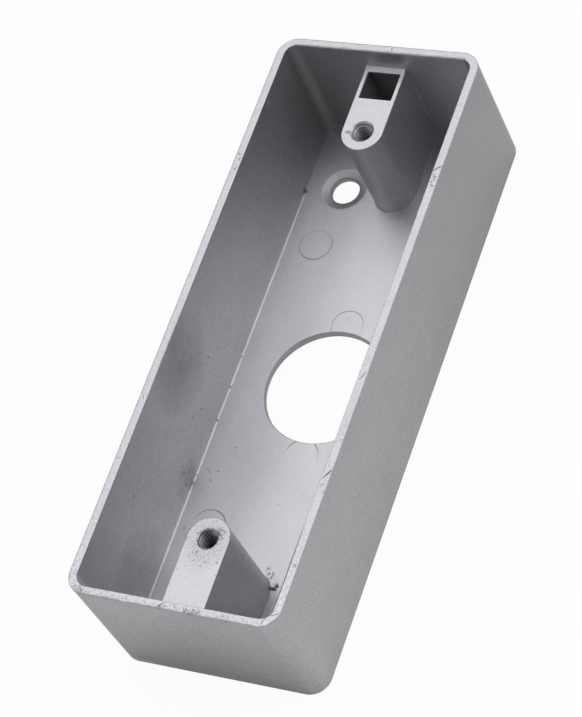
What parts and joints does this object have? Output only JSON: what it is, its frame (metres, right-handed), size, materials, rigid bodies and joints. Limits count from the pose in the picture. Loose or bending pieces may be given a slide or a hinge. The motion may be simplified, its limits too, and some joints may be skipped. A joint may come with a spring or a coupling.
{
  "type": "metal back box",
  "caption": "Slim surface-mounting back box, cast in one piece, with a tapped post on each end wall, a cable entry and dished wall-screw holes in the floor.",
  "frame": {"origin": "centre of the base's outer face, at the foot of the box's bounding box", "axes": "+Z out of the open side, +Y along the length towards the end whose post has the square pocket, X across the width"},
  "size_m": [0.04, 0.115, 0.027],
  "materials": {
    "casting": "as cast and fine blasted, satin silver grey, with the rim and the post tops ground bright"
  },
  "bodies": {
    "root": {"back_box": "casting"}
  },
  "joints": []
}
